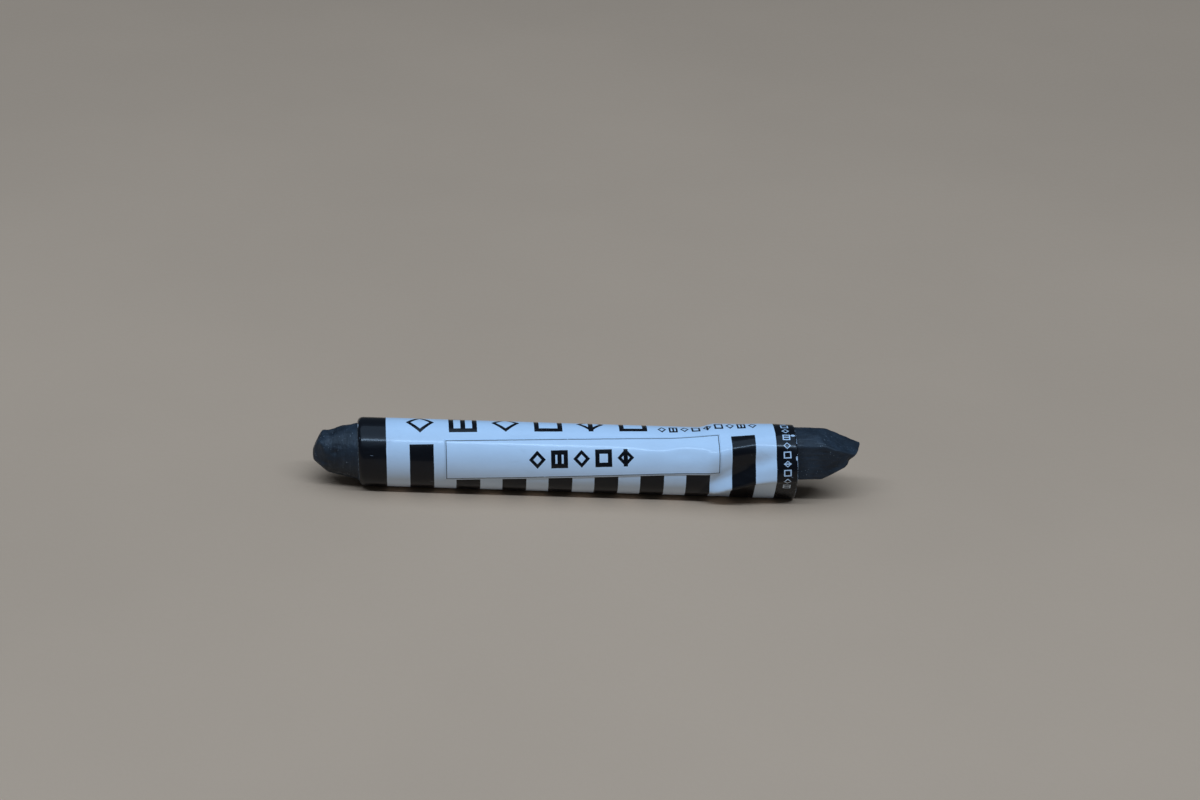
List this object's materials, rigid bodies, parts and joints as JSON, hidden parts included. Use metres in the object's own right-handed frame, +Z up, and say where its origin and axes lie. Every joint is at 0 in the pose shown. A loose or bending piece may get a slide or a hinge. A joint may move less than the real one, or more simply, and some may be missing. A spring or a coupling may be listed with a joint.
{
  "type": "wrapped pigment stick",
  "caption": "Black drawing stick in a rolled and glued printed paper wrapper with a name sticker; one end worn round, the other cut to a blunt point.",
  "frame": {"origin": "centre of the bounding box's underside, on the surface the stick lies on", "axes": "+X along the stick from its worn end to its cut end, -Y the side that carries the name sticker, +Z up"},
  "size_m": [0.08, 0.0115, 0.0107],
  "materials": {
    "pigment": "matte",
    "printed_paper": "gloss",
    "core_glue": "matte",
    "seam_glue": "matte",
    "sticker_paper": "gloss"
  },
  "bodies": {
    "root": {"pigment_stick": "pigment", "wrapper_label": "printed_paper", "core_glue_strip": "core_glue", "seam_glue_strip": "seam_glue", "name_sticker": "sticker_paper"}
  },
  "joints": []
}
